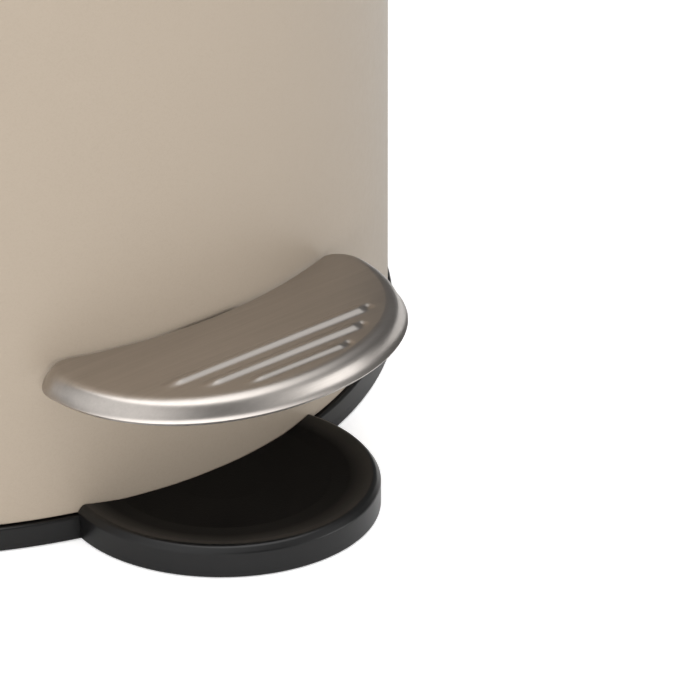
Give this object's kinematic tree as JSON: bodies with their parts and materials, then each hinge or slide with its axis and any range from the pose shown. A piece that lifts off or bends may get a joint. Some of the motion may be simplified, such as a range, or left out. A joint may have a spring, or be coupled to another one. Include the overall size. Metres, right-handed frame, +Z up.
{
  "type": "pedal trash can",
  "caption": "Round pedal bin with a painted steel body, a hinged lid, an inner bucket, a black base with a foot, and a brushed steel pedal that lifts the lid by a push rod.",
  "frame": {"origin": "on the floor, at the axis of the round body, on the underside of the base", "axes": "+Z up along the axis of the body; -Y towards the pedal (front); +X to the right of a person who faces the pedal's back, that is, along the pedal's ribs"},
  "size_m": [0.2966, 0.3576, 0.457],
  "materials": {
    "champagne_paint": "satin metallic champagne paint",
    "brushed_steel": "brushed across the pedal",
    "bracket_steel": "plain pressed steel",
    "zinc_steel": "zinc plated",
    "black_moulding": "black, fine texture",
    "grey_moulding": "dark grey, fine texture",
    "bucket_plastic": "dark grey, satin",
    "nylon": "natural nylon",
    "rubber": "matt black"
  },
  "bodies": {
    "body": {"base": "black_moulding", "base_screw_1": "zinc_steel", "base_screw_2": "zinc_steel", "base_screw_3": "zinc_steel", "base_screw_4": "zinc_steel", "anti_slip_pad_1": "rubber", "anti_slip_pad_2": "rubber", "anti_slip_pad_3": "rubber", "anti_slip_pad_4": "rubber", "anti_slip_pad_5": "rubber", "lever_stop": "rubber", "body_shell": "champagne_paint", "hinge_bracket": "bracket_steel", "bracket_rivet_left": "zinc_steel", "bracket_rivet_right": "zinc_steel", "hinge_pin": "zinc_steel", "top_rim": "grey_moulding", "pedal_axle": "zinc_steel", "axle_clip_left": "zinc_steel", "axle_clip_right": "zinc_steel", "rod_guide": "nylon", "guide_rivet": "zinc_steel"},
    "bucket": {"inner_bucket": "bucket_plastic"},
    "pedal": {"pedal_plate": "brushed_steel", "pedal_nut_1": "zinc_steel", "pedal_nut_2": "zinc_steel", "pedal_lever": "zinc_steel"},
    "rod": {"push_rod": "zinc_steel", "rod_foot": "nylon"},
    "lid": {"lid_shell": "champagne_paint", "lid_arm": "bracket_steel", "crank_pin": "zinc_steel", "lid_nut_1": "zinc_steel", "lid_nut_2": "zinc_steel", "lid_bumper_1": "rubber", "lid_bumper_2": "rubber", "lid_bumper_3": "rubber"}
  },
  "joints": [
    {"name": "lid_open", "type": "hinge", "parent": "body", "child": "lid", "pos_m": [0, 0.1554, 0.438], "axis": [-1, 0, 0], "range_deg": [0, 80]},
    {"name": "pedal_press", "type": "hinge", "parent": "body", "child": "pedal", "pos_m": [0, -0.02, 0.024], "axis": [1, 0, 0], "range_deg": [0, 9.8]},
    {"name": "rod_lift", "type": "slide", "parent": "body", "child": "rod", "axis": [0, 0, 1], "range_m": [0, 0.0272]},
    {"name": "bucket_lift", "type": "slide", "parent": "body", "child": "bucket", "axis": [0, 0, 1], "range_m": [0, 0.005]}
  ],
  "couplings": [
    {"joint": "pedal_press", "follows": "lid_open", "ratio": 0.1225},
    {"joint": "rod_lift", "follows": "lid_open", "m_per_rad": 0.01948}
  ]
}
